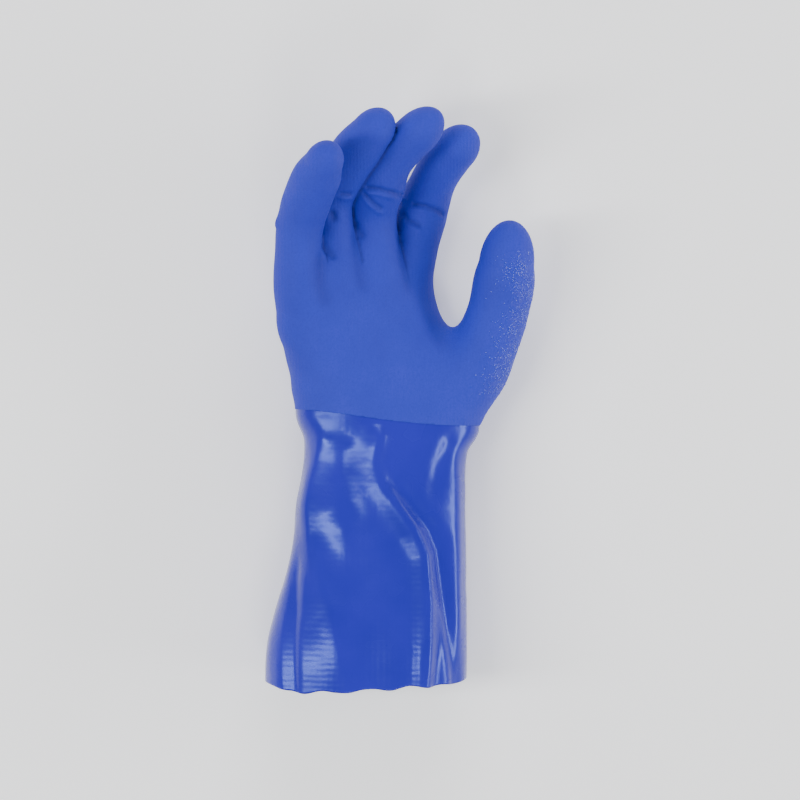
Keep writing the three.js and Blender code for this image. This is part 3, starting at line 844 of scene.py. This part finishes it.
for source, target in [
    (start.outputs["Geometry"], scatter.inputs["Mesh"]),
    (strength.outputs["Attribute"], thick.inputs[0]),
    (start.outputs["Grains per square metre"], thick.inputs[1]),
    (thick.outputs[0], scatter.inputs["Density"]),
    (start.outputs["Seed"], scatter.inputs["Seed"]),
    (start.outputs["Seed"], sizes.inputs["Seed"]),
    (sizes.outputs[1], grown.inputs[0]),
    (start.outputs["Grain size"], grown.inputs[1]),
    (grown.outputs[0], low_side.inputs[0]),
    (grown.outputs[0], shape.inputs["X"]),
    (grown.outputs[0], shape.inputs["Y"]),
    (low_side.outputs[0], shape.inputs["Z"]),
    (scatter.outputs["Points"], place.inputs["Points"]),
    (bead.outputs["Mesh"], place.inputs["Instance"]),
    (scatter.outputs["Rotation"], place.inputs["Rotation"]),
    (shape.outputs[0], place.inputs["Scale"]),
    (place.outputs["Instances"], real.inputs["Geometry"]),
    (real.outputs["Geometry"], even.inputs["Geometry"]),
    (even.outputs["Geometry"], painted.inputs["Geometry"]),
    (painted.outputs["Geometry"], end.inputs["Geometry"]),
]:
    tree.links.new(source, target)
grains = bpy.data.objects.new("thumb_side_grains", hand.data.copy())
bpy.context.collection.objects.link(grains)
spread = grains.modifiers.new("grains", "NODES")
spread.node_group = tree
spread[keys["Grains per square metre"]] = GRAINS_PER_SQUARE_METRE
spread[keys["Grain size"]] = GRAIN_SIZE
spread[keys["Seed"]] = GRAIN_SEED
ready = bpy.context.evaluated_depsgraph_get()
plain = bpy.data.meshes.new_from_object(grains.evaluated_get(ready))
grains.modifiers.clear()
grains.data = plain
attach(grains, "root")

# The gauntlet is the smooth glossy sleeve below the rough coat, soft enough to fall in folds.
# It is one skin with the hand, dipped once, so its wall tucks under the edge of the rough coat.
sides, steps = ((224, 170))
angle = np.linspace(0, 2 * np.pi, sides, endpoint=False)
along = np.linspace(-0.012, 1, steps)
SMOOTH_STEP = 0.35
SLEEVE_WALL = 1.7
RIM_SHARE = 0.11
HELD_SHARE = 0.03
UNDER_RISE_RIGHT, UNDER_RISE_LEFT = 5.0, 3.0

# x, then how far the cut hem rises (+) or drops (-) on the upper face
hem_rows = np.array(
    [
        (-58, 2.6), (-50, 0.6), (-46, -0.7), (-40, -1.0), (-33, -2.2), (-22.5, -0.3), (-15, -1.2), (-7, -1.2),
        (-1.5, 0.2), (6.5, 0.8), (15, -0.1), (26, 2.6), (35, 1.5), (43, 2.6), (54, 1.8), (60, 4.0),
    ]
)
rim_places = outer_verts[outer_ring]
rim_middle = np.array([12.0, 0.0, 27.0])
rim_turn = np.arctan2(rim_places[:, 2] - rim_middle[2], rim_places[:, 0] - rim_middle[0])
rim_reach = np.hypot(rim_places[:, 2] - rim_middle[2], rim_places[:, 0] - rim_middle[0])
rim_order = np.argsort(rim_turn)


def sleeve_surface(angle, along, inset):
    """Points of the sleeve's wall, in rings from the coat's edge to the hem."""
    rows = read_row(sleeve_rows, np.clip(along, 0, 1))
    rings = []
    for k, share in enumerate(along):
        breadth, depth, middle, turn, sunk = [column[k] for column in rows]
        height = seat_height(breadth, depth, turn) - sunk
        x, z = section_points(breadth - 2 * inset, depth - 2 * inset, middle, turn, angle)
        z = z + height
        z = inset + np.where(z - inset > 3, z - inset, 3 * np.exp(np.minimum((z - inset) / 3 - 1, 0)))
        # the first rings follow the rim of the hand
        w = np.clip(1 - max(share, 0) / RIM_SHARE, 0, 1)
        w = w * w * (3 - 2 * w)
        way = np.arctan2(z - rim_middle[2], x - rim_middle[0])
        reach = np.hypot(z - rim_middle[2], x - rim_middle[0])
        rim = np.interp(way, rim_turn[rim_order], rim_reach[rim_order], period=2 * np.pi) - inset
        reach = reach + (rim - reach) * w
        x, z = rim_middle[0] + reach * np.cos(way), rim_middle[2] + reach * np.sin(way)
        upper = np.clip((z - 30) / 34, 0, 1)
        rise = read_row(hem_rows, np.clip(x, -58, 60))[0] * upper
        rise = rise + (1 - upper) * np.where(x > 0, UNDER_RISE_RIGHT, UNDER_RISE_LEFT)
        y = -share * SLEEVE + max(share, 0) ** 6 * rise
        y = y + coat_edge(x) * (1 - share) ** 2
        rings.append(np.stack([x, y, z], 1))
    return np.array(rings)


# Folds of the soft sleeve, seen from above: name, width to its right and left, path of (x, y, height: + ridge,
# - valley), and how far it runs on beyond the last point, past the hem
folds = [
    ("slack panel", (12, 13),
     [(-30.4, -74.0, 0.0), (-22.5, -99.3, -1.4), (-18.0, -124.6, -1.4), (-17.4, -153.8, -1.4)], 80),
    ("hollow beside the ridge", (5, 6),
     [(-27.0, -20.0, 0.0), (-30.4, -30.1, -1.4), (-31.5, -43.0, -1.6), (-28.1, -57.1, -1.4),
      (-21.4, -72.8, 0.0)], 0),
    ("long ridge", (4.5, 7.0),
     [(-5.1, -5.3, 3.3), (-11.2, -21.7, 2.9), (-14.1, -35.7, 2.4), (-10.1, -48.1, 2.7),
      (-1.7, -60.5, 3.3), (7.9, -74.5, 4.0), (13.5, -88.6, 4.3), (15.2, -113.3, 4.5),
      (14.6, -153.8, 4.5)], 60),
    ("valley beside the ridge", (6, 4),
     [(-9.0, -40.2, 0.0), (0.6, -52.6, -2.0), (9.0, -63.8, -2.6), (16.9, -73.4, -2.6),
      (21.4, -84.1, -2.4), (23.6, -99.3, -2.4), (25.9, -116.7, -2.4), (30.4, -156.1, -2.4)], 60),
    ("fold below the heel", (5, 5),
     [(27.6, -25.6, -1.4), (21.9, -37.4, -1.2), (19.7, -49.8, -0.9), (16.3, -70.6, 0.0)], 0),
    ("thumb side ridge", (5, 6),
     [(30.4, -26.2, 0.0), (31.5, -45.8, 1.0), (32.1, -90.8, 1.2), (31.5, -135.8, 1.2)], 60),
    ("little finger side ridge", (6, 7),
     [(-41.6, -20.0, 0.8), (-46.1, -33.5, 1.6), (-50.1, -47.0, 1.8), (-52.3, -61.0, 1.8),
      (-50.6, -77.9, 1.8), (-46.1, -99.3, 1.7), (-39.4, -121.8, 1.7), (-32.6, -151.6, 1.7)], 60),
    ("little finger side crease", (4, 5),
     [(-57.4, -82.4, 0.0), (-59.1, -99.3, -1.8), (-59.6, -119.0, -2.0), (-60.8, -151.6, -2.0)], 60),
    ("small rise", (6, 6), [(-39.4, -63.8, 0.6), (-33.8, -74.0, 1.2), (-30.4, -86.3, 0.4)], 0),
    ("hem ripple", (6, 6), [(-30.9, -130.2, 0.0), (-30.9, -160.6, -1.0)], 30),
    ("hem ripple at the thumb side", (6, 6), [(16.9, -130.2, 0.0), (18.0, -158.3, -0.9)], 30),
]
outer = sleeve_surface(angle, along, SMOOTH_STEP).reshape(-1, 3)
inner = sleeve_surface(angle, along, SMOOTH_STEP + SLEEVE_WALL).reshape(-1, 3)
count = sides * steps
tube = []
for r in range(steps - 1):
    for i in range(sides):
        j = (i + 1) % sides
        tube.append((r * sides + i, (r + 1) * sides + i, (r + 1) * sides + j, r * sides + j))
bulge = vertex_normals(outer, tube)
lift = np.zeros(count)
for name, width, path, beyond in folds:
    line = drop(path, outer, tube, beyond)
    lift += stroke(outer, line, *width)
if (bulge[:, 2] * (outer[:, 2] - 25)).sum() < 0:
    bulge = -bulge
held = np.repeat(np.clip(along / HELD_SHARE, 0, 1), sides)
moved = bulge * (lift * held)[:, None]
verts = np.vstack([outer + moved, inner + moved])
faces = [face[::-1] for face in tube] + [tuple(k + count for k in face) for face in tube]
for i in range(sides):
    j = (i + 1) % sides
    faces.append((i, j, j + count, i + count))
    last = (steps - 1) * sides
    faces.append((last + i, last + i + count, last + j + count, last + j))
gauntlet = mesh_object("smooth_gauntlet", verts, faces)
shares = np.repeat(along, sides)
mark(gauntlet, "inner", np.concatenate([np.zeros(count), np.ones(count)]))
mark(gauntlet, "down", np.concatenate([shares, shares]))

SLEEVE_BLUE = (0.022, 0.018, 0.37, 1)
SLEEVE_DEEP = (0.017, 0.014, 0.32, 1)
smooth = Shader("smooth blue coat")
tint = smooth.mix(smooth.span(smooth.noise(24, 3.0), 0.35, 0.65, 0.0, 1.0), SLEEVE_BLUE, SLEEVE_DEEP)
backing = smooth.mix(smooth.ribs(150, "X", 0.6), KNIT_PALE, KNIT_SHADE)
tint = smooth.mix(smooth.layer("inner"), tint, backing)
smooth.join(tint, smooth.surface.inputs["Base Color"])
rows_of_knit = smooth.math("ADD", smooth.ribs(98, "X", 1.5), smooth.ribs(98, "Y", 1.5))
shows = smooth.span(smooth.layer("down"), 0.45, 1.0, 0.25, 1.0)
knit = smooth.math("MULTIPLY", rows_of_knit, shows)
surface = smooth.bump(knit, 0.0001, 0.3)
surface = smooth.bump(smooth.noise(120, 2.0), 0.0008, 0.22, surface)
smooth.join(surface, smooth.surface.inputs["Normal"])
smooth.join(smooth.span(smooth.noise(60, 2.0), 0.3, 0.7, 0.2, 0.3), smooth.surface.inputs["Roughness"])
smooth.surface.inputs["Specular IOR Level"].default_value = 0.62
smooth.surface.inputs["Specular Tint"].default_value = (0.22, 0.34, 1, 1)
gauntlet.data.materials.append(smooth.material)
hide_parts("gauntlet")
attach(gauntlet, "root")
